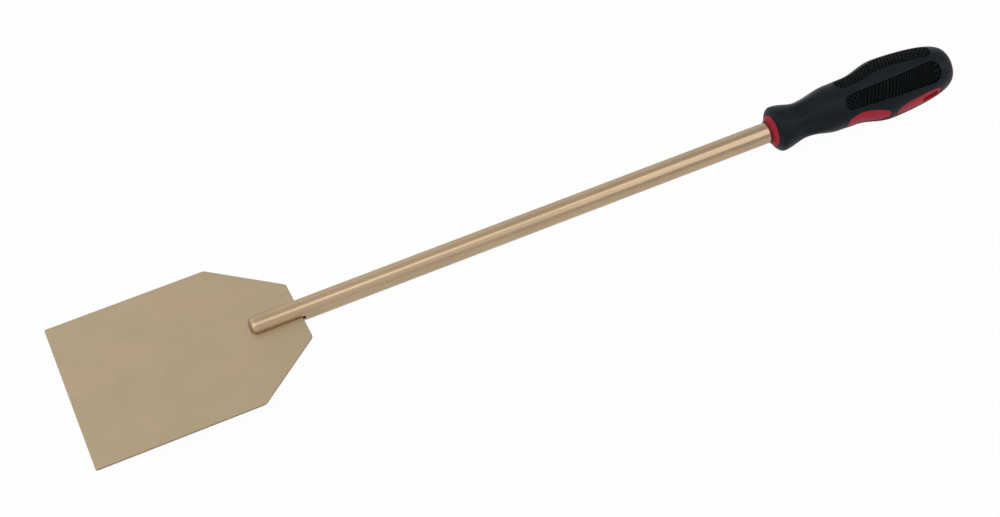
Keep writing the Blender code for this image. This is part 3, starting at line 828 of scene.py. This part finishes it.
def make_fillet(name, side, face, material):
    """A braze fillet: a hollow quarter round, carried round half of the nose and back along the bar.

    Its path is the bar's outline on the blade's face, with a quarter circle for a corner. Its size wavers as
    a sum of sines, and on the left it grows wide, as filler that ran there.
    """
    skin = Skin()
    reach = math.sqrt(BAR_RADIUS**2 - BLADE_HALF_THICKNESS**2)
    corner = np.radians(np.linspace(0, 90, 16))
    front = np.linspace(0, reach - NOSE_ROUND, 20)[:-1]
    end = BLADE_LENGTH - (FILLET_LEFT_END if side > 0 else FILLET_RIGHT_END)
    back = np.linspace(NOSE_X + NOSE_ROUND, end, 90)[1:]
    x = np.concatenate([NOSE_X + 0 * front, NOSE_X + NOSE_ROUND * (1 - np.cos(corner)), back])
    y = np.concatenate([front, reach - NOSE_ROUND * (1 - np.sin(corner)), reach + 0 * back])
    heading = np.concatenate([0 * front, corner, np.pi / 2 + 0 * back])
    out_x, out_y = np.cos(heading)[:, None], np.sin(heading)[:, None]
    way = np.concatenate([[0], np.cumsum(np.hypot(np.diff(x), np.diff(y)))])[:, None]
    wave = np.sin(way * 900 + side) * 0.5 + np.sin(way * 2100 + 2 * face) * 0.3 + np.sin(way * 3700) * 0.2
    first, last = FILLET_TAPER_STARTS
    taper = np.minimum(1, np.minimum(way + first, way[-1] - way + last) / FILLET_TAPER_LENGTH)
    growth = ease(np.clip(way / FILLET_WIDENING_LENGTH, 0, 1)) if side > 0 else 0
    leg = (FILLET_LEG + (WIDE_FILLET_LEG - FILLET_LEG) * growth + FILLET_WAVER * wave) * np.sqrt(taper)
    turn = np.radians(np.linspace(0, 90, 9))[None, :]
    up = leg * (1 - np.cos(turn))
    recess = (reach - np.sqrt(BAR_RADIUS**2 - (BLADE_HALF_THICKNESS + up) ** 2)) * out_y**2
    out = leg * (1 - np.sin(turn)) - recess - FILLET_OVERLAP
    out = np.concatenate([out, out[:, -1:] - FILLET_HIDDEN_TOP, 0 * leg - FILLET_HIDDEN_FOOT], axis=1)
    up = np.concatenate([up, leg, 0 * leg - FILLET_FOOT_SINK], axis=1)
    points = np.stack(
        [x[:, None] - out * out_x, side * (y[:, None] + out * out_y), face * (BLADE_HALF_THICKNESS + up)],
        axis=-1,
    )
    columns = points.shape[1]
    front_cap = np.repeat(points[:1].mean(axis=1, keepdims=True), columns, axis=1)
    back_cap = np.repeat(points[-1:].mean(axis=1, keepdims=True), columns, axis=1)
    skin.grid(np.concatenate([front_cap, points, back_cap]))
    skin.finish(name.replace("braze", "fillet"), material, name, "braze")


# Stage


def make_floor():
    """A pale floor that looks white to the camera, except in the object's shadow.

    The metal and the grip mirror it in pale grey, which darkens away from them in front, most at the grip's
    end.
    """
    mesh = bpy.data.meshes.new("floor")
    corners = [(-1, -1), (1, -1), (1, 1), (-1, 1)]
    points = [(FLOOR_REACH * x, FLOOR_REACH * y, FLOOR_Z) for x, y in corners]
    mesh.from_pydata(points, [], [(0, 1, 2, 3)])
    finish = Finish("pale floor")
    finish.tree.nodes.clear()
    finish.place = finish.node("TexCoord", {}, {}, "Object")
    in_front = (0 - finish.axis("Y")).band(0.03, 0.16)
    level = 0.86 - in_front * (0.04 + 0.26 * finish.axis("X").band(0.15, 0.55))
    grey = finish.mix(level, (0, 0, 0), (1, 1, 1))
    paint = finish.node("BsdfDiffuse", {}, {"Color": (0.8, 0.8, 0.8, 1)})
    mirrored = finish.node("Emission", {}, {"Color": grey})
    glow = finish.node("Emission", {}, {"Color": (1, 1, 1, 1)})
    camera, gloss, through = (
        finish.node("LightPath", {}, {}, f"Is {kind} Ray") for kind in ("Camera", "Glossy", "Transmission")
    )
    blend = finish.node("MixShader", {}, {0: (gloss + through) * 0.8, 1: paint, 2: mirrored})
    blend = finish.node("MixShader", {}, {0: camera * FLOOR_GLOW, 1: blend, 2: glow})
    finish.tree.links.new(blend.socket, finish.tree.nodes.new("ShaderNodeOutputMaterial").inputs[0])
    mesh.materials.append(finish.material)
    floor = bpy.data.objects.new("floor", mesh)
    bpy.context.scene.collection.objects.link(floor)


def make_world():
    """The studio round the object, which the camera itself sees as white.

    Its light falls off a little towards the grip's end. Above the bar hangs a narrow strip of soft light, and
    in front of the grip's end a broad one with a soft lower edge. Both lie between two values of the forward
    slope, which is how far a direction leans forwards for each unit up.
    """
    world = bpy.data.worlds.new("studio")
    bpy.context.scene.world = world
    world.use_nodes = True
    graph = Graph(world.node_tree)
    graph.tree.nodes.clear()
    place = graph.node("TexCoord", {}, {}, "Generated")
    side, forward, up = (graph.node("SeparateXYZ", {}, {0: place}, k) for k in range(3))
    slope = 0 - forward / up.maths("MAXIMUM", up, 0.02)
    lean = slope - 0.30 * side
    strip = 0.86 * lean.band(0.02, 0.12) * (1 - slope.band(0.48, 0.62))
    panel = 1.15 * side.band(0.17, 0.40) * lean.band(0.02, 0.12) * (1 - slope.band(1.5, 2.9))
    far = 0.28 * forward.band(0.62, 0.82) - 0.22 * forward.band(0.78, 0.90)
    far = far + 0.12 * forward.band(0.2, 0.6) * side.band(0.1, 0.35)
    lights = up.band(0, 0.02) * strip.maths("MAXIMUM", strip, panel)
    level = 1.0 - 0.42 * side.band(-0.2, 0.45) + far + lights
    studio = graph.node("Background", {}, {"Color": (1, 1, 1, 1), "Strength": level})
    white = graph.node("Background", {}, {"Color": (1, 1, 1, 1), "Strength": 1.0})
    camera = graph.node("LightPath", {}, {}, "Is Camera Ray")
    blend = graph.node("MixShader", {}, {0: camera, 1: studio, 2: white})
    graph.tree.links.new(blend.socket, graph.tree.nodes.new("ShaderNodeOutputWorld").inputs[0])


def make_camera():
    """The camera that was fitted to the photograph: three turns and a place."""
    pose = Matrix.Identity(3)
    for degrees, axis in CAMERA_TURNS:
        pose = Matrix.Rotation(math.radians(degrees), 3, axis) @ pose
    data = bpy.data.cameras.new("camera")
    data.sensor_width = CAMERA_SENSOR
    data.lens = CAMERA_LENS
    data.clip_start = CAMERA_NEAR
    camera = bpy.data.objects.new("camera", data)
    camera.matrix_world = pose.transposed().to_4x4() @ Matrix.Translation(CAMERA_SHIFT)
    bpy.context.scene.collection.objects.link(camera)
    bpy.context.scene.camera = camera


def main():
    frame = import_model()
    make_camera()

    blade = frame["nodes"]["blade"]
    plate = bronze_plate()
    for slot in blade.material_slots:
        slot.material = plate
    make_bar(bronze_bar())
    filler = braze_filler()
    for face_name, face in (("top", 1), ("bottom", -1)):
        for side_name, side in (("left", 1), ("right", -1)):
            make_fillet(f"braze_{face_name}_{side_name}", side, face, filler)
    make_core(red_plastic())
    make_sleeve(black_plastic())
    pad_finish = ribbed_rubber()
    for k, clock in enumerate(PAD_CLOCKS):
        make_pad(k, clock, pad_finish)

    make_floor()
    make_world()
    bpy.context.scene.view_settings.view_transform = "Standard"


main()
